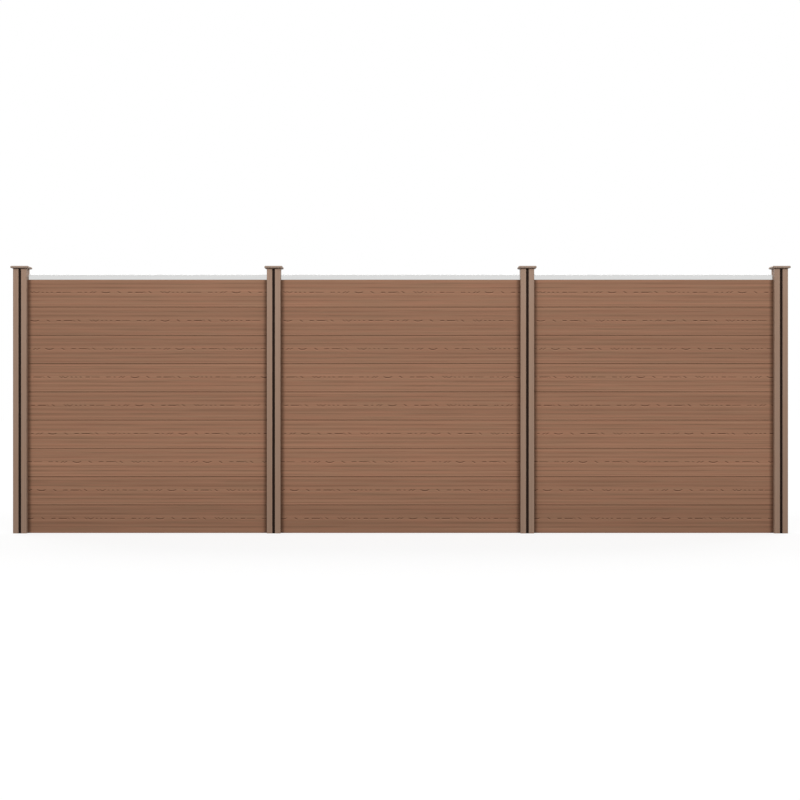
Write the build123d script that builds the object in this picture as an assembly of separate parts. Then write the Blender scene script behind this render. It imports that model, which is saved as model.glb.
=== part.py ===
from build123d import *
import os

# A run of composite fencing: bays of tongue-and-groove boards between slotted aluminium posts.
# Units are millimetres. X runs along the fence, -Y is its front, and Z is up.
# The origin is on the ground, at the middle of the run.

# Layout of the run
bay_count = 3
boards_per_bay = 9
post_pitch = 1710.0

# Post extrusion: a square with one board slot in each side, around a square core tube
post_size = 92.0
post_corner_radius = 3.0
post_skin = 2.5
slot_depth = 25.0
slot_wall = 2.0
slot_mouth_radius = 1.0
core_wall = 2.0
post_rise = 38.0  # from the top of the rail to the top of the post

# Board extrusion: hollow, with a tongue above and a groove below
board_cover = 191.0  # height that each board adds to the stack
board_thickness = 17.0
board_skin = 3.5
board_web = 4.0
board_chambers = 5
board_edge_chamfer = 1.0
board_reveal = 2.0  # open shadow line between the faces of two boards
board_end_gap = 5.0  # room for expansion at the bottom of each slot
tongue_width = 7.0
tongue_height = 11.0
tongue_chamfer = 1.0
tongue_clearance = 0.5
slot_clearance = 0.5

# Top rail extrusion: a box with two legs that straddle the top board
rail_wall = 1.5
rail_height = 34.0
rail_lap = 5.0  # how far the legs reach down the faces of the top board
rail_clearance = 0.25
rail_end_gap = 0.5
rail_edge_radius = 1.0
rail_line_count = 2
rail_line_width = 3.0
rail_line_depth = 0.5

# Post cap: a plate with bevels above and below its rim, and a plug for the core tube
cap_overhang = 15.0
cap_underside_rise = 5.0
cap_rim = 8.0
cap_top_rise = 5.0
cap_top_bevel = 5.0
cap_wall = 3.0
cap_seat = 6.0
cap_corner_radius = 4.0
cap_rim_radius = 1.0
plug_depth = 25.0
plug_wall = 2.5
plug_rib = 2.0
plug_clearance = 0.25

# Filler strip: a channel that closes a slot with no board in it
strip_recess = 4.0
strip_face = 2.5
strip_leg = 2.0
strip_clearance = 0.2
strip_top_gap = 0.5

# Sizes that follow from those above
post_half = post_size / 2
slot_width = board_thickness + 2 * slot_clearance
core_outer = post_size - 2 * slot_depth
core_bore = core_outer - 2 * core_wall
board_body = board_cover - board_reveal
board_length = post_pitch - post_size + 2 * (slot_depth - board_end_gap)
groove_width = tongue_width + 2 * tongue_clearance
groove_depth = tongue_height - board_reveal
top_shoulder = (boards_per_bay - 1) * board_cover + board_body
tongue_top = top_shoulder + tongue_height
rail_base = top_shoulder - rail_lap
rail_width = board_thickness + 2 * (rail_clearance + rail_wall)
rail_length = post_pitch - post_size - 2 * rail_end_gap
post_height = rail_base + rail_height + post_rise
cap_size = post_size + 2 * cap_overhang
cap_height = cap_underside_rise + cap_rim + cap_top_rise
strip_height = post_height - strip_top_gap
match = 1e-6  # how near a point has to be to count as on a plane


def post_x(number):
    """Place along the run of a post, counted from 0 at the left end."""
    return (number - bay_count / 2) * post_pitch


def board_section():
    """Section of a board, seen along X, with the bottom of its lips on the local X axis."""
    chamber_floor = groove_depth + board_web
    chamber_span = board_body - board_web - chamber_floor
    chamber_pitch = (chamber_span + board_web) / board_chambers
    chamber_middle = chamber_floor + chamber_span / 2
    with BuildSketch() as section:
        with Locations((0, board_body / 2)):
            Rectangle(board_thickness, board_body)
        chamfer(section.vertices(), board_edge_chamfer)
        with Locations((0, groove_depth / 2)):
            Rectangle(groove_width, groove_depth, mode=Mode.SUBTRACT)
        with Locations((0, chamber_middle)):
            with GridLocations(0, chamber_pitch, 1, board_chambers):
                Rectangle(
                    board_thickness - 2 * board_skin,
                    chamber_pitch - board_web,
                    mode=Mode.SUBTRACT,
                )
        with BuildSketch(mode=Mode.PRIVATE) as tongue:
            with Locations((0, board_body + tongue_height / 2)):
                Rectangle(tongue_width, tongue_height)
            chamfer(tongue.vertices().group_by(Axis.Y)[-1], tongue_chamfer)
        add(tongue.sketch)
    return section.sketch


def make_board():
    """A board lying along X, centred on the origin."""
    return extrude(Plane.YZ * board_section(), board_length / 2, both=True)


def post_section():
    """Section of a post: outer skin, four slots, four corner hollows and the core tube."""
    hollow_start = slot_width / 2 + slot_wall
    hollow_end = post_half - post_skin
    hollow_middle = (hollow_start + hollow_end) / 2
    with BuildSketch() as section:
        RectangleRounded(post_size, post_size, post_corner_radius)
        with PolarLocations(post_half - slot_depth / 2, 4):
            Rectangle(slot_depth, slot_width, mode=Mode.SUBTRACT)
        outer_points = section.vertices().filter_by(
            lambda v: max(abs(v.X), abs(v.Y)) > post_half - match
        )
        mouths = outer_points.filter_by(lambda v: min(abs(v.X), abs(v.Y)) < slot_width / 2 + match)
        fillet(mouths, slot_mouth_radius)
        Rectangle(core_bore, core_bore, mode=Mode.SUBTRACT)
        with BuildSketch(mode=Mode.PRIVATE) as hollows:
            with GridLocations(2 * hollow_middle, 2 * hollow_middle, 2, 2):
                Rectangle(hollow_end - hollow_start, hollow_end - hollow_start)
            Rectangle(core_outer, core_outer, mode=Mode.SUBTRACT)
        add(hollows.sketch, mode=Mode.SUBTRACT)
    return section.sketch


def make_post():
    """A post standing on the origin."""
    return extrude(post_section(), post_height)


def cap_profile():
    """Side view of a cap's plate: a flat top, a bevel, the rim and a bevel back to the post."""
    rim_base = cap_underside_rise
    rim_top = rim_base + cap_rim
    rim_x = cap_size / 2
    top_x = rim_x - cap_top_bevel
    right = [(post_half, 0), (rim_x, rim_base), (rim_x, rim_top), (top_x, cap_height)]
    left = [(-x, z) for x, z in reversed(right)]
    with BuildSketch() as profile:
        with BuildLine():
            Polyline(*right, *left, close=True)
        make_face()
        rim_points = profile.vertices().filter_by(lambda v: abs(v.X) > rim_x - match)
        fillet(rim_points, cap_rim_radius)
    return profile.sketch


def make_cap():
    """A post cap, with the face that rests on the post at Z = 0."""
    bar = extrude(Plane.XZ * cap_profile(), cap_size / 2, both=True)
    corners = extrude(RectangleRounded(cap_size, cap_size, cap_corner_radius), cap_height)
    body = bar & (Rot(0, 0, 90) * bar) & corners
    ceiling = cap_height - cap_wall
    pocket_size = post_size - 2 * cap_seat
    body -= extrude(Rectangle(pocket_size, pocket_size), ceiling)
    plug_size = core_bore - 2 * plug_clearance
    plug_bore = plug_size - 2 * plug_wall
    plug = Rectangle(plug_size, plug_size) - Rectangle(plug_bore, plug_bore)
    plug += Rectangle(plug_size, plug_rib) + Rectangle(plug_rib, plug_size)
    return body + extrude(Pos(0, 0, -plug_depth) * plug, plug_depth + ceiling)


def rail_section():
    """Section of a top rail, seen along X, with the bottom of its legs on the local X axis."""
    leg = tongue_top - rail_base
    inside = rail_width - 2 * rail_wall
    chamber = rail_height - leg - 2 * rail_wall
    line_pitch = rail_height / (rail_line_count + 1)
    with BuildSketch() as section:
        with Locations((0, rail_height / 2)):
            Rectangle(rail_width, rail_height)
        fillet(section.vertices().group_by(Axis.Y)[-1], rail_edge_radius)
        with Locations((0, leg / 2)):
            Rectangle(inside, leg, mode=Mode.SUBTRACT)
        with Locations((0, leg + rail_wall + chamber / 2)):
            Rectangle(inside, chamber, mode=Mode.SUBTRACT)
        with Locations((0, rail_height / 2)):
            with GridLocations(rail_width, line_pitch, 2, rail_line_count):
                Rectangle(2 * rail_line_depth, rail_line_width, mode=Mode.SUBTRACT)
    return section.sketch


def make_rail():
    """A top rail lying along X, centred on the origin."""
    return extrude(Plane.YZ * rail_section(), rail_length / 2, both=True)


def make_strip():
    """A filler strip standing on Z = 0, in the slot that faces -Y."""
    width = slot_width - 2 * strip_clearance
    depth = slot_depth - strip_recess
    middle = -post_half + strip_recess + depth / 2
    with BuildSketch() as section:
        with Locations((0, middle)):
            Rectangle(width, depth)
        with Locations((0, middle + strip_face / 2)):
            Rectangle(width - 2 * strip_leg, depth - strip_face, mode=Mode.SUBTRACT)
    return extrude(section.sketch, strip_height)


def open_sides(number):
    """The sides of a post with no board in their slot: name and turn about Z from the front."""
    sides = {"front": 0, "back": 180}
    if number == 0:
        sides["outer"] = -90
    if number == bay_count:
        sides["outer"] = 90
    return sides


def save(name, shape):
    """Writes one named piece."""
    shape.label = name
    export_step(shape, f"parts/{name}.step")


def main():
    os.makedirs("parts", exist_ok=True)
    board = make_board()
    rail = make_rail()
    post = make_post()
    cap = make_cap()
    strip = make_strip()
    for bay in range(bay_count):
        bay_x = (post_x(bay) + post_x(bay + 1)) / 2
        for row in range(boards_per_bay):
            save(f"bay_{bay + 1}_board_{row + 1}", Pos(bay_x, 0, row * board_cover) * board)
        save(f"bay_{bay + 1}_top_rail", Pos(bay_x, 0, rail_base) * rail)
    for number in range(bay_count + 1):
        name = f"post_{number + 1}"
        save(name, Pos(post_x(number), 0, 0) * post)
        save(f"{name}_cap", Pos(post_x(number), 0, post_height) * cap)
        for side, turn in open_sides(number).items():
            save(f"{name}_{side}_strip", Pos(post_x(number), 0, 0) * Rot(0, 0, turn) * strip)


main()
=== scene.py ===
from functools import partial
import math

import bpy
import numpy as np
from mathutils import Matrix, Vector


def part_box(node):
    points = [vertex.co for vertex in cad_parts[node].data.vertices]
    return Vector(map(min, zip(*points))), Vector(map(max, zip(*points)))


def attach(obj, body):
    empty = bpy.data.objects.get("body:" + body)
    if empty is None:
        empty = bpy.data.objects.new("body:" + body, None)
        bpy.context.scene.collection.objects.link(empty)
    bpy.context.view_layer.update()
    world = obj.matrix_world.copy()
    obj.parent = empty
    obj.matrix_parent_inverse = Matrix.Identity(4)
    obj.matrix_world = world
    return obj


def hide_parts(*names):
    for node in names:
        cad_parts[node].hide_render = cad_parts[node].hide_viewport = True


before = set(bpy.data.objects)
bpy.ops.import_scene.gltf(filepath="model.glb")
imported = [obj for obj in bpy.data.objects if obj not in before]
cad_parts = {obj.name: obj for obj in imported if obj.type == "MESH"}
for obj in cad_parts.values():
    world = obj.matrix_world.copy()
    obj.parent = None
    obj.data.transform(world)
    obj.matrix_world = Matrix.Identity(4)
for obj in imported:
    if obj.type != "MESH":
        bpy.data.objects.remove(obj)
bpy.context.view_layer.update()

# A run of composite fencing. The boards get embossed faces, and the other solids only get a finish.
# Units are metres, with angles in degrees. X runs along the fence, -Y is its front, and Z is up.
mm = 0.001

# The run, as the frame has it
bay_count = sum(name.endswith("_top_rail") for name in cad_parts)
boards_per_bay = sum(name.startswith("bay_1_board_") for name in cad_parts)
post_low, post_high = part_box("post_1")
post_half = (post_high.x - post_low.x) / 2
post_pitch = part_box("post_2")[0].x - post_low.x

# The photograph's view: square on to the fence, near its middle height
view_width = 5389 * mm  # across the picture, at the front of the posts
view_distance = 11.0  # from the front of the posts
view_height = 899 * mm
view_side = -3.4 * mm
sensor_width = 36.0  # in millimetres, as the lens is

# Section of a board, as its solid has it
edge_chamfer = 1 * mm
tongue_width = 7 * mm
tongue_height = 11 * mm
tongue_chamfer = 1 * mm
groove_width = 8 * mm
groove_depth = 9 * mm
skin = 3.5 * mm
web = 4 * mm
chamber_count = 5
chamber_corners = 4

# Mesh of a board: columns all along it, each split where the heart grain runs
column_count = 55
column_split = 6
band_rows = 14
band_half = 14 * mm
rows_per_line = 3  # the two edges and the bottom of a pressed line
sharp_angle = 32  # an edge that bends more than this stays sharp

# Straight grain pressed into both faces: (share of the height from the top, half width, depth)
main_line = (4.0 * mm, 0.28 * mm)
fine_line = (2.4 * mm, 0.22 * mm)
lines_above = [
    (0.105, *fine_line),
    (0.155, *main_line),
    (0.20, *fine_line),
    (0.305, *main_line),
    (0.35, *fine_line),
]
lines_below = [
    (0.60, *fine_line),
    (0.64, *main_line),
    (0.68, *fine_line),
    (0.78, *main_line),
    (0.83, *fine_line),
    (0.93, *fine_line),
]
line_drift = 0.5 * mm  # how far a line strays up and down
line_swing = 900 * mm  # length over which a line drifts to and fro
line_fade = 800 * mm  # length over which a line fades in and out
fade_middle = 0.6  # share of its depth that a line has between fading in and out
fade_swing = 0.6
fade_least = 0.2
drift_paces = (1.0, 1.7, 2.9)  # of the waves that make up a drift
seed = 41

# Heart grain pressed along the middle by a roller, so that it repeats
heart_share = 0.478  # of the height, from the top
heart_repeat = 881 * mm
heart_depth = 1.2 * mm
stroke_half = 3.0 * mm
highlight_drop = 5 * mm  # how far below a stroke its painted highlight sits, standing for the lower edge that catches the light
back_shift = 0.37  # share of a repeat by which the back face differs
# Where the repeat starts in each row, from the middle of the bay, with the top row first
heart_starts = [start * mm for start in (-85, 315, 415, 110, 140, 435, 600, 360, 280)]

# Strokes of the heart grain, in millimetres
tick_fall = 4.5  # how far a tick starts above the line and ends below it
dot_half = 5
dot_fall = 0.5
bowl_steps = 6
bowl_dip = 0.6  # share of a bowl's height that lies below the line
stroke_fill = 0.8  # share of its step that a stroke in a row of them takes

# Bands of tone along the boards: (share of the height from the top, tint), pale between the main lines
tone_bands = [
    (0.0, 0.86),
    (0.025, 1.02),
    (0.07, 1.09),
    (0.155, 0.95),
    (0.23, 1.02),
    (0.305, 0.945),
    (0.40, 1.06),
    (0.478, 1.01),
    (0.55, 1.06),
    (0.64, 0.945),
    (0.71, 1.05),
    (0.78, 0.96),
    (0.86, 1.09),
    (0.93, 1.0),
    (0.97, 1.10),
    (1.0, 0.88),
]
# How pale the boards of each row are, with the top row first
row_tints = [0.965, 0.93, 0.94, 1.015, 1.005, 1.075, 1.10, 1.04, 0.95]
shade_reach = 28 * mm  # how far painted shade spreads along the boards from the edge of a post, standing for the shadow in the corner
darkest_shade_reach = shade_reach / 4  # how far it is at its darkest

# Nearly all of a noise lies between these
noise_low = 0.3
noise_high = 0.7

# Light: a white world, soft lamps far off, and long lamps above the run
daylight = 0.36  # how strongly the world lights the fence
lamp_strength = 0.70
lamp_spread = 30
lamp_rise = 35
lamp_turn = 32  # to each side of straight on
bank_power = 140
bank_length = 9.0
bank_width = 0.6
bank_distance = 3.0
bank_height = 3.3

# Floor: its paint takes light and shadow, and its glow lifts it to white
floor_size = 120
floor_paint = 0.26
floor_glow = 0.79


def srgb(red, green, blue):
    """A colour as the photograph's values give it, from 0 to 255, for a shader's socket."""
    linear = [((v / 255 + 0.055) / 1.055) ** 2.4 for v in (red, green, blue)]
    return (*linear, 1.0)


def grey(share):
    return (share, share, share, 1.0)


def add_to_scene(thing):
    bpy.context.scene.collection.objects.link(thing)


def drift(rng, x, length):
    """A smooth line along x that swings to and fro about once in each length, within -1 and 1."""
    total = np.zeros_like(x)
    weight = 0.0
    for pace in drift_paces:
        total += np.sin(2 * math.pi * (x * pace / length + rng.random())) / pace
        weight += 1 / pace
    return total / weight


def dash(start, end, depth=1.0):
    """A level stroke. Each stroke is x and z of its two ends, and a share of the full depth."""
    return [(start, 0.0, end, 0.0, depth)]


def slant(start, end, fall, depth=0.9):
    """A stroke from fall above the line to as far below it, or a climbing one where fall is negative."""
    return [(start, fall, end, -fall, depth)]


def slants(start, end, falls, depth):
    """A row of short strokes side by side, one for each fall."""
    step = (end - start) / len(falls)
    strokes = []
    for number, fall in enumerate(falls):
        left = start + number * step
        strokes += slant(left, left + stroke_fill * step, fall, depth)
    return strokes


def dots(*places):
    """Short strokes about these places, nearly level."""
    strokes = []
    for place in places:
        strokes += slant(place - dot_half, place + dot_half, dot_fall)
    return strokes


def bowl(start, end, height):
    """A stroke that dips in the middle, as a few short ones end to end."""
    points = []
    for number in range(bowl_steps + 1):
        share = number / bowl_steps
        points.append((start + share * (end - start), height * ((2 * share - 1) ** 2 - bowl_dip)))
    return [(*a, *b, 1.0) for a, b in zip(points, points[1:])]


# One repeat of the heart grain, in millimetres along it and above its line
heart_marks = [
    *dash(0, 54),
    *slant(60, 74, tick_fall, 0.5),
    *slant(95, 112, tick_fall),
    *slants(176, 240, (tick_fall, tick_fall, -tick_fall), 0.75),
    *dots(258, 288, 319),
    *dash(353, 380),
    *dash(393, 447, 0.6),
    *dots(500, 516, 549),
    *slants(578, 622, (-4.2, -4.2), 0.8),
    *bowl(658, 712, 6.0),
    *slant(766, 784, tick_fall),
    *dash(835, 861),
]


def pressed_heart(x, z, start):
    """How deep the heart grain is pressed at each point, from 0 to 1, with its line at z = 0."""
    deep = np.zeros(np.broadcast(x, z).shape)
    place = (x - start) % heart_repeat
    for x0, z0, x1, z1, depth in heart_marks:
        run = np.array([(x1 - x0) * mm, (z1 - z0) * mm])
        across = place - x0 * mm
        above = z - z0 * mm
        share = np.clip((across * run[0] + above * run[1]) / run.dot(run), 0, 1)
        away = np.hypot(across - share * run[0], above - share * run[1])
        hollow = np.clip(1 - away / stroke_half, 0, 1)
        deep = np.maximum(deep, depth * hollow * hollow * (3 - 2 * hollow))
    return deep


class BoardFace:
    """One face of a board: the heights of its rows of points, from the bottom up, and their depths."""

    def __init__(self, rng, body, columns, fine_columns, heart_start):
        flat = np.zeros_like(columns)
        heights = [flat + edge_chamfer]
        depths = [flat]
        for share, half_width, depth in lines_below[::-1] + lines_above[::-1]:
            middle = body * (1 - share) + line_drift * drift(rng, columns, line_swing)
            fade = fade_middle + fade_swing * drift(rng, columns, line_fade)
            heights += [middle - half_width, middle, middle + half_width]
            depths += [flat, depth * np.clip(fade, fade_least, 1), flat]
        self.heights = np.array(heights + [flat + body - edge_chamfer])
        self.depths = np.array(depths + [flat])
        level = np.linspace(-band_half, band_half, band_rows + 1)[:, None]
        along = fine_columns[None, :]
        pressed = pressed_heart(along, level, heart_start)
        pressed_above = pressed_heart(along, level + highlight_drop, heart_start)
        self.band_heights = np.broadcast_to(body * (1 - heart_share) + level, pressed.shape)
        self.band_depths = heart_depth * pressed
        # Painted highlight: points just below a stroke, where the stroke lies above them but not on them
        self.band_highlights = np.clip(pressed_above - pressed, 0, 1)


def edge_corners(half, body):
    """The corners of the section between its two faces: over the top, and then under the bottom."""
    tongue = tongue_width / 2
    top = body + tongue_height
    rise = [
        (-half + edge_chamfer, body),
        (-tongue, body),
        (-tongue, top - tongue_chamfer),
        (-tongue + tongue_chamfer, top),
    ]
    over = rise + [(-y, z) for y, z in reversed(rise)]
    groove = groove_width / 2
    fall = [(half - edge_chamfer, 0.0), (groove, 0.0), (groove, groove_depth)]
    under = fall + [(-y, z) for y, z in reversed(fall)]
    return over, under


def chamber_points(ends, half, body):
    """The corners of the chambers at the board's two ends, with the lowest chamber first."""
    inner = half - skin
    floor = groove_depth + web
    pitch = (body - floor) / chamber_count
    points = []
    for number in range(chamber_count):
        bottom = floor + number * pitch
        top = floor + (number + 1) * pitch - web
        for y, z in ((-inner, bottom), (-inner, top), (inner, top), (inner, bottom)):
            points += [(x, y, z) for x in ends]
    return np.array(points)


class BoardPattern:
    """The faces of a board's mesh, the same for every board, and the order of its points."""

    def __init__(self):
        self.plain_below = rows_per_line * len(lines_below) + 1
        self.plain_above = rows_per_line * len(lines_above) + 1
        self.plain = self.plain_below + self.plain_above
        over, under = edge_corners(1.0, 1.0)
        self.over_start = self.plain
        self.back_start = self.over_start + len(over)
        self.under_start = self.back_start + self.plain
        self.ring = self.under_start + len(under)
        self.columns = column_count + 1
        self.fine = column_count * column_split + 1
        self.band_start = self.ring * self.columns
        self.band_size = (band_rows + 1) * self.fine
        self.chamber_start = self.band_start + 2 * self.band_size
        self.faces = []
        self.add_ring()
        self.add_chambers()
        self.add_end(0, 0, 0)
        self.add_end(1, self.columns - 1, self.fine - 1)

    def point(self, row, column):
        return row * self.columns + column

    def band_point(self, side, row, fine_column):
        return self.band_start + side * self.band_size + row * self.fine + fine_column

    def chamber_point(self, end, chamber, corner):
        return self.chamber_start + (chamber * chamber_corners + corner) * 2 + end

    def add_quad(self, place, row, after, column):
        """A face between two rows. Place finds a point from its row and column."""
        self.faces.append((
            place(row, column),
            place(row, column + 1),
            place(after, column + 1),
            place(after, column),
        ))

    def add_ring(self):
        """The rows all round the board. The heart grain comes where each face has a break."""
        front_break = self.plain_below - 1
        back_break = self.back_start + self.plain_above - 1
        for row in range(self.ring):
            after = (row + 1) % self.ring
            if row == front_break:
                self.add_band(0, row, after)
            elif row == back_break:
                self.add_band(1, row, after)
            else:
                for column in range(column_count):
                    self.add_quad(self.point, row, after, column)

    def add_band(self, side, before, after):
        """The finer rows of the heart grain, and the triangles that join them to the plain rows."""
        place = partial(self.band_point, side)
        for row in range(band_rows):
            for column in range(self.fine - 1):
                self.add_quad(place, row, row + 1, column)
        for column in range(column_count):
            steps = range(column * column_split, (column + 1) * column_split + 1)
            self.add_join(before, column, [place(0, step) for step in steps], 1)
            self.add_join(after, column, [place(band_rows, step) for step in steps], -1)

    def add_join(self, row, column, fine, turn):
        """Triangles from one step of a plain row to the finer points beside it, turned over by -1."""
        left = self.point(row, column)
        right = self.point(row, column + 1)
        half = column_split // 2
        triangles = [(left, right, fine[half])]
        for number in range(column_split):
            near = left if number < half else right
            triangles.append((near, fine[number + 1], fine[number]))
        self.faces += [triangle[::turn] for triangle in triangles]

    def add_chambers(self):
        for chamber in range(chamber_count):
            for corner in range(chamber_corners):
                after = (corner + 1) % chamber_corners
                self.faces.append((
                    self.chamber_point(0, chamber, corner),
                    self.chamber_point(0, chamber, after),
                    self.chamber_point(1, chamber, after),
                    self.chamber_point(1, chamber, corner),
                ))

    def add_end(self, end, column, fine_column):
        """One cut end: the two skins, the top, the bottom, and the webs between the chambers."""
        corner = partial(self.chamber_point, end)
        ring = [self.point(row, column) for row in range(self.ring)]
        bands = []
        for side in (0, 1):
            bands.append([self.band_point(side, row, fine_column) for row in range(band_rows + 1)])
        front_break = self.plain_below
        back_break = self.back_start + self.plain_above
        tongue_front = self.over_start + 1
        tongue_back = self.back_start - 2
        groove_back = self.under_start + 2
        groove_front = self.under_start + 3
        top_chamber = chamber_count - 1
        front = ring[groove_front:] + ring[:front_break] + bands[0] + ring[front_break:tongue_front + 1]
        back = ring[tongue_back:back_break] + bands[1] + ring[back_break:groove_back + 1]
        for chamber in range(chamber_count):
            front += [corner(top_chamber - chamber, 1), corner(top_chamber - chamber, 0)]
            back += [corner(chamber, 3), corner(chamber, 2)]
        top = ring[tongue_front:tongue_back + 1] + [corner(top_chamber, 2), corner(top_chamber, 1)]
        bottom = [corner(0, 0), corner(0, 3), ring[groove_back], ring[groove_front]]
        polygons = [front, back, top, bottom]
        for lower in range(top_chamber):
            upper = lower + 1
            polygons.append([corner(upper, 0), corner(upper, 3), corner(lower, 2), corner(lower, 1)])
        turn = -1 if end else 1
        self.faces += [tuple(polygon[::turn]) for polygon in polygons]


def point_list(x, y, z):
    """Points with these coordinates, spread to one shape and listed row by row."""
    return np.stack(np.broadcast_arrays(x, y, z), axis=-1).reshape(-1, 3)


def board_points(low, high, rng, heart_start):
    """Places of a board's points, how deep each is pressed in, and how strongly it takes the painted
    highlight under a stroke.
    """
    middle = (low + high) / 2
    half = (high.y - low.y) / 2
    body = high.z - low.z - tongue_height
    columns = np.linspace(low.x, high.x, column_count + 1) - middle.x
    fine_columns = np.linspace(low.x, high.x, column_count * column_split + 1) - middle.x
    front = BoardFace(rng, body, columns, fine_columns, heart_start)
    back = BoardFace(rng, body, columns, -fine_columns, heart_start + back_shift * heart_repeat)
    flat = np.zeros_like(columns)
    over, under = [np.array(corners)[:, :, None] + flat for corners in edge_corners(half, body)]
    ring_y = np.vstack([front.depths - half, over[:, 0], half - back.depths[::-1], under[:, 0]])
    ring_z = np.vstack([front.heights, over[:, 1], back.heights[::-1], under[:, 1]])
    ring_depths = np.vstack([front.depths, 0 * over[:, 0], back.depths[::-1], 0 * under[:, 0]])
    places = [point_list(columns, ring_y, ring_z)]
    depths = [ring_depths.ravel()]
    highlights = [np.zeros(ring_depths.size)]
    for face, side in ((front, -1), (back, 1)):
        order = -side  # rows run up the front and down the back
        band_depths = face.band_depths[::order]
        places.append(point_list(fine_columns, side * (half - band_depths), face.band_heights[::order]))
        depths.append(band_depths.ravel())
        highlights.append(face.band_highlights[::order].ravel())
    chambers = chamber_points((columns[0], columns[-1]), half, body)
    places.append(chambers)
    depths.append(np.zeros(len(chambers)))
    highlights.append(np.zeros(len(chambers)))
    base = np.array([middle.x, middle.y, low.z])
    return np.vstack(places) + base, np.concatenate(depths), np.concatenate(highlights)


def make_board(node, pattern, material, row, number):
    """A board with its grain pressed in, in place of the plain solid. Rows count from 0 at the top."""
    low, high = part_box(node)
    rng = np.random.default_rng([seed, number])
    places, depths, highlights = board_points(low, high, rng, heart_starts[row])
    mesh = bpy.data.meshes.new(f"{node}_embossed")
    mesh.from_pydata(places.tolist(), [], pattern.faces)
    mesh.shade_smooth()
    mesh.set_sharp_from_angle(angle=math.radians(sharp_angle))
    attributes = {
        "pressed": depths / heart_depth,
        "painted_highlight": highlights,
        "fallen": 1 - (places[:, 2] - low.z) / (high.z - low.z - tongue_height),
        "row_tint": np.full(len(places), row_tints[row]),
    }
    for name, values in attributes.items():
        attribute = mesh.attributes.new(name, "FLOAT", "POINT")
        attribute.data.foreach_set("value", values.astype(np.float32))
    mesh.materials.append(material)
    board = bpy.data.objects.new(f"{node}_embossed", mesh)
    add_to_scene(board)
    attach(board, "root")
    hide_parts(node)


def make_boards(material):
    """Every board of the run. The nodes count their rows from 1 at the bottom."""
    pattern = BoardPattern()
    number = 0
    for bay in range(1, bay_count + 1):
        for row in range(1, boards_per_bay + 1):
            make_board(f"bay_{bay}_board_{row}", pattern, material, boards_per_bay - row, number)
            number += 1


class Shader:
    """A new material and short ways to add nodes to it."""

    # Where a Mix node has its sockets for colours
    mix_factor = 0
    mix_first = 6
    mix_second = 7
    mix_result = 2

    def __init__(self, name):
        self.material = bpy.data.materials.new(name)
        self.material.use_nodes = True
        self.tree = self.material.node_tree
        self.surface = self.tree.nodes["Principled BSDF"]

    def link(self, output, node, socket):
        self.tree.links.new(output, node.inputs[socket])

    def noise(self, per_metre, detail, offset=(0, 0, 0)):
        """Noise in the part's own frame, with so many features in a metre along each axis."""
        place = self.tree.nodes.new("ShaderNodeTexCoord")
        mapping = self.tree.nodes.new("ShaderNodeMapping")
        mapping.inputs["Scale"].default_value = per_metre
        mapping.inputs["Location"].default_value = offset
        noise = self.tree.nodes.new("ShaderNodeTexNoise")
        noise.inputs["Scale"].default_value = 1.0
        noise.inputs["Detail"].default_value = detail
        self.link(place.outputs["Object"], mapping, "Vector")
        self.link(mapping.outputs["Vector"], noise, "Vector")
        return noise.outputs["Fac"]

    def stretch(self, value, low=noise_low, high=noise_high, to_low=0.0, to_high=1.0):
        """Takes a value from between low and high to between to_low and to_high."""
        node = self.tree.nodes.new("ShaderNodeMapRange")
        node.inputs["From Min"].default_value = low
        node.inputs["From Max"].default_value = high
        node.inputs["To Min"].default_value = to_low
        node.inputs["To Max"].default_value = to_high
        self.link(value, node, "Value")
        return node.outputs["Result"]

    def attribute(self, name):
        node = self.tree.nodes.new("ShaderNodeAttribute")
        node.attribute_name = name
        return node.outputs["Fac"]

    def mix(self, factor, first, second, kind="MIX"):
        """A colour between first and second, each a colour or another node's output."""
        node = self.tree.nodes.new("ShaderNodeMix")
        node.data_type = "RGBA"
        node.blend_type = kind
        if isinstance(factor, float):
            node.inputs[self.mix_factor].default_value = factor
        else:
            self.link(factor, node, self.mix_factor)
        for socket, colour in ((self.mix_first, first), (self.mix_second, second)):
            if isinstance(colour, tuple):
                node.inputs[socket].default_value = colour
            else:
                self.link(colour, node, socket)
        return node.outputs[self.mix_result]

    def tinted(self, colour, tint):
        """A colour times a tint, each a colour or another node's output."""
        return self.mix(1.0, colour, tint, "MULTIPLY")

    def ramp(self, value, stops):
        """A grey that runs through stops of (value, grey), from a value of 0 to 1."""
        node = self.tree.nodes.new("ShaderNodeValToRGB")
        elements = node.color_ramp.elements
        for place, _ in stops[1:-1]:
            elements.new(place)
        for element, (_, share) in zip(elements, stops):
            element.color = grey(share)
        self.link(value, node, "Fac")
        return node.outputs["Color"]

    def post_distance(self):
        """How far along the run each point is from the middle of the nearest post."""
        place = self.tree.nodes.new("ShaderNodeTexCoord")
        split = self.tree.nodes.new("ShaderNodeSeparateXYZ")
        from_post = self.tree.nodes.new("ShaderNodeMath")
        from_post.operation = "ADD"
        from_post.inputs[1].default_value = post_pitch / 2
        fold = self.tree.nodes.new("ShaderNodeMath")
        fold.operation = "PINGPONG"
        fold.inputs[1].default_value = post_pitch / 2
        self.link(place.outputs["Object"], split, 0)
        self.link(split.outputs["X"], from_post, 0)
        self.link(from_post.outputs[0], fold, 0)
        return fold.outputs[0]

    def finish(self, colour, roughness, height, strength, distance):
        """Gives the surface its colour and roughness, and a bump of the height."""
        bump = self.tree.nodes.new("ShaderNodeBump")
        bump.inputs["Strength"].default_value = strength
        bump.inputs["Distance"].default_value = distance
        self.link(colour, self.surface, "Base Color")
        self.link(roughness, self.surface, "Roughness")
        self.link(height, bump, "Height")
        self.link(bump.outputs["Normal"], self.surface, "Normal")


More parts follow.
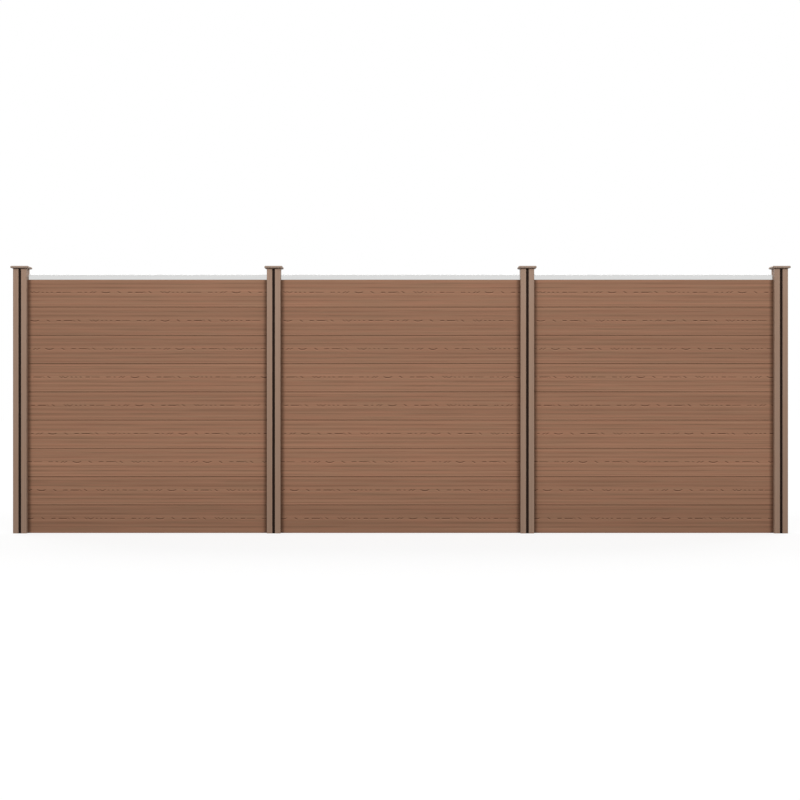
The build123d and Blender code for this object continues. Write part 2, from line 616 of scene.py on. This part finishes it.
def board_material():
    """Brown wood-plastic composite: long streaks of redder and yellower brown, darker in the pressed
    grain, partly its own colour and partly painted shade in the hollows; with painted shade beside the
    posts and a painted highlight under the heart grain strokes.
    """
    red_brown = srgb(151, 110, 87)
    yellow_brown = srgb(146, 110, 87)
    grain_and_shade_brown = srgb(46, 17, 6)
    dull_tint = (0.90, 0.89, 0.88, 1)
    dark_tint = (0.84, 0.83, 0.82, 1)
    pale_tint = grey(1.06)
    painted_highlight_tint = grey(1.4)
    painted_shade_tint = (0.50, 0.48, 0.46, 1)
    shader = Shader("composite_board")
    hue = shader.stretch(shader.noise((2.5, 1, 85), 3), 0.38, 0.62)
    brown = shader.mix(hue, red_brown, yellow_brown)
    tone = shader.stretch(shader.noise((0.5, 1, 80), 3, (9, 0, 3)), 0.32, 0.68)
    brown = shader.mix(tone, shader.tinted(brown, dull_tint), brown)
    streak = shader.stretch(shader.noise((0.6, 1, 190), 4, (5, 0, 0)))
    brown = shader.mix(streak, shader.tinted(brown, dark_tint), shader.tinted(brown, pale_tint))
    brown = shader.tinted(brown, shader.ramp(shader.attribute("fallen"), tone_bands))
    brown = shader.tinted(brown, shader.attribute("row_tint"))
    # Painted highlight: the lower edge of each heart grain stroke is paled, as if it caught the light
    # from above
    painted_highlight = shader.stretch(shader.attribute("painted_highlight"), 0.0, 0.8)
    brown = shader.mix(painted_highlight, brown, shader.tinted(brown, painted_highlight_tint))
    # Darker in the pressed lines and heart grain: partly the grain's own colour, partly painted shade in
    # the hollows
    grain_and_shade = shader.stretch(shader.attribute("pressed"), 0.0, 0.7)
    brown = shader.mix(grain_and_shade, brown, grain_and_shade_brown)
    # Painted shade beside each post: the boards darken towards the post's edge, standing for the shadow
    # in the corner
    unshaded = shader.stretch(shader.post_distance(), post_half + darkest_shade_reach, post_half + shade_reach)
    brown = shader.mix(unshaded, shader.tinted(brown, painted_shade_tint), brown)
    fibre = shader.noise((60, 1, 1500), 2)
    rough = shader.stretch(fibre, to_low=0.62, to_high=0.78)
    shader.finish(brown, rough, fibre, strength=0.25, distance=0.4 * mm)
    shader.surface.inputs["Specular IOR Level"].default_value = 0.15
    return shader.material


def coat_material():
    """Grey-brown powder coat, with faint streaks down the extrusion."""
    dark_coat = srgb(137, 112, 95)
    pale_coat = srgb(147, 121, 103)
    warm_tint = (1.0, 0.97, 0.94, 1)
    shader = Shader("powder_coat")
    streak = shader.stretch(shader.noise((190, 190, 0.8), 3))
    coat = shader.mix(streak, dark_coat, pale_coat)
    cloud = shader.stretch(shader.noise((6, 6, 4), 2), 0.35, 0.65)
    coat = shader.mix(cloud, coat, shader.tinted(coat, warm_tint))
    grit = shader.noise((1100, 1100, 1100), 2)
    rough = shader.stretch(grit, to_low=0.46, to_high=0.58)
    shader.finish(coat, rough, grit, strength=0.15, distance=0.15 * mm)
    shader.surface.inputs["Specular IOR Level"].default_value = 0.3
    return shader.material


def cap_material():
    """Moulded plastic in nearly the posts' colour, with a fine even texture."""
    dark_plastic = srgb(138, 118, 104)
    pale_plastic = srgb(145, 125, 111)
    shader = Shader("moulded_cap")
    cloud = shader.stretch(shader.noise((25, 25, 25), 3))
    plastic = shader.mix(cloud, dark_plastic, pale_plastic)
    grit = shader.noise((900, 900, 900), 1)
    rough = shader.stretch(grit, to_low=0.50, to_high=0.64)
    shader.finish(plastic, rough, grit, strength=0.15, distance=0.15 * mm)
    shader.surface.inputs["Specular IOR Level"].default_value = 0.3
    return shader.material


def rail_material():
    """Bare extruded aluminium, with fine lines along it."""
    dark_metal = (0.67, 0.67, 0.665, 1)
    pale_metal = (0.71, 0.71, 0.705, 1)
    shader = Shader("bare_aluminium")
    line = shader.stretch(shader.noise((0.8, 600, 600), 3))
    metal = shader.mix(line, dark_metal, pale_metal)
    rough = shader.stretch(line, 0.0, 1.0, to_low=0.12, to_high=0.18)
    shader.finish(metal, rough, line, strength=0.04, distance=0.1 * mm)
    shader.surface.inputs["Metallic"].default_value = 1.0
    return shader.material


def strip_material():
    """Black extruded plastic, with faint streaks down it."""
    dark_plastic = srgb(26, 17, 13)
    pale_plastic = srgb(38, 26, 20)
    shader = Shader("black_strip")
    streak = shader.stretch(shader.noise((400, 400, 3), 3))
    plastic = shader.mix(streak, dark_plastic, pale_plastic)
    rough = shader.stretch(streak, 0.0, 1.0, to_low=0.75, to_high=0.9)
    shader.finish(plastic, rough, streak, strength=0.1, distance=0.2 * mm)
    shader.surface.inputs["Specular IOR Level"].default_value = 0.08
    return shader.material


def dress_nodes():
    """Gives each solid that stays its finish, by the last word of its name. A post's is its number."""
    finishes = {
        "cap": cap_material(),
        "rail": rail_material(),
        "strip": strip_material(),
    }
    coat = coat_material()
    for name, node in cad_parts.items():
        if "_board_" in name:
            continue
        last_word = name.split("_")[-1]
        node.data.materials.clear()
        node.data.materials.append(finishes.get(last_word, coat))


def seen_directly(tree):
    """1 for what the camera, a reflection or glass sees, and 0 for light that falls on the fence."""
    path = tree.nodes.new("ShaderNodeLightPath")
    total = path.outputs["Is Camera Ray"]
    for name in ("Is Glossy Ray", "Is Transmission Ray"):
        add = tree.nodes.new("ShaderNodeMath")
        add.operation = "ADD"
        add.use_clamp = True
        tree.links.new(total, add.inputs[0])
        tree.links.new(path.outputs[name], add.inputs[1])
        total = add.outputs[0]
    return total


def make_world():
    """White all round where it is seen, and dimmer as a light."""
    world = bpy.data.worlds.new("white_studio")
    world.use_nodes = True
    tree = world.node_tree
    backdrop = tree.nodes["Background"]
    backdrop.inputs["Color"].default_value = grey(1.0)
    strength = tree.nodes.new("ShaderNodeMapRange")
    strength.inputs["To Min"].default_value = daylight
    strength.inputs["To Max"].default_value = 1.0
    tree.links.new(seen_directly(tree), strength.inputs["Value"])
    tree.links.new(strength.outputs["Result"], backdrop.inputs["Strength"])
    bpy.context.scene.world = world


def floor_material():
    """Paint that takes light and shadow, with a glow that is seen and doesn't light the fence."""
    material = bpy.data.materials.new("white_floor")
    material.use_nodes = True
    tree = material.node_tree
    tree.nodes.remove(tree.nodes["Principled BSDF"])
    paint = tree.nodes.new("ShaderNodeBsdfDiffuse")
    paint.inputs["Color"].default_value = grey(floor_paint)
    light = tree.nodes.new("ShaderNodeEmission")
    strength = tree.nodes.new("ShaderNodeMapRange")
    strength.inputs["To Max"].default_value = floor_glow
    both = tree.nodes.new("ShaderNodeAddShader")
    tree.links.new(seen_directly(tree), strength.inputs["Value"])
    tree.links.new(strength.outputs["Result"], light.inputs["Strength"])
    tree.links.new(paint.outputs["BSDF"], both.inputs[0])
    tree.links.new(light.outputs["Emission"], both.inputs[1])
    tree.links.new(both.outputs["Shader"], tree.nodes["Material Output"].inputs["Surface"])
    return material


def make_floor():
    """A white floor, on which the fence's shadow shows faintly."""
    half = floor_size / 2
    corners = [(-half, -half, 0), (half, -half, 0), (half, half, 0), (-half, half, 0)]
    mesh = bpy.data.meshes.new("floor")
    mesh.from_pydata(corners, [], [(0, 1, 2, 3)])
    mesh.materials.append(floor_material())
    floor = bpy.data.objects.new("floor", mesh)
    add_to_scene(floor)
    return floor


def make_lamp(name, turn):
    """A soft lamp far off, at a turn about Z from the front."""
    lamp = bpy.data.lights.new(name, "SUN")
    lamp.energy = lamp_strength
    lamp.angle = math.radians(lamp_spread)
    holder = bpy.data.objects.new(name, lamp)
    holder.rotation_euler = (math.radians(90 - lamp_rise), 0, math.radians(turn))
    add_to_scene(holder)


def make_bank(name, side, floor):
    """A long lamp above the run, on the side of -1 (front) or 1, which doesn't light the floor."""
    lamp = bpy.data.lights.new(name, "AREA")
    lamp.shape = "RECTANGLE"
    lamp.size = bank_length
    lamp.size_y = bank_width
    lamp.energy = bank_power
    holder = bpy.data.objects.new(name, lamp)
    holder.location = (0, side * bank_distance, bank_height)
    fall = math.atan2(bank_height - view_height, bank_distance)
    holder.rotation_euler = (math.radians(90) - fall, 0, 0 if side < 0 else math.pi)
    holder.visible_camera = False
    add_to_scene(holder)
    spared = bpy.data.collections.new(f"{name}_spares")
    spared.objects.link(floor)
    spared.collection_objects[0].light_linking.link_state = "EXCLUDE"
    holder.light_linking.receiver_collection = spared


def make_camera():
    """The photograph's camera."""
    camera = bpy.data.cameras.new("camera")
    camera.sensor_width = sensor_width
    camera.lens = sensor_width * view_distance / view_width
    holder = bpy.data.objects.new("camera", camera)
    holder.location = (view_side, post_low.y - view_distance, view_height)
    holder.rotation_euler = (math.radians(90), 0, 0)
    add_to_scene(holder)
    bpy.context.scene.camera = holder


make_boards(board_material())
dress_nodes()
make_world()
studio_floor = make_floor()
for corner, turn in (("left", -lamp_turn), ("right", lamp_turn)):
    make_lamp(f"front_{corner}_lamp", turn)
    make_lamp(f"back_{corner}_lamp", 180 + turn)
for name, side in (("front_bank", -1), ("back_bank", 1)):
    make_bank(name, side, studio_floor)
make_camera()
bpy.context.scene.view_settings.view_transform = "Standard"
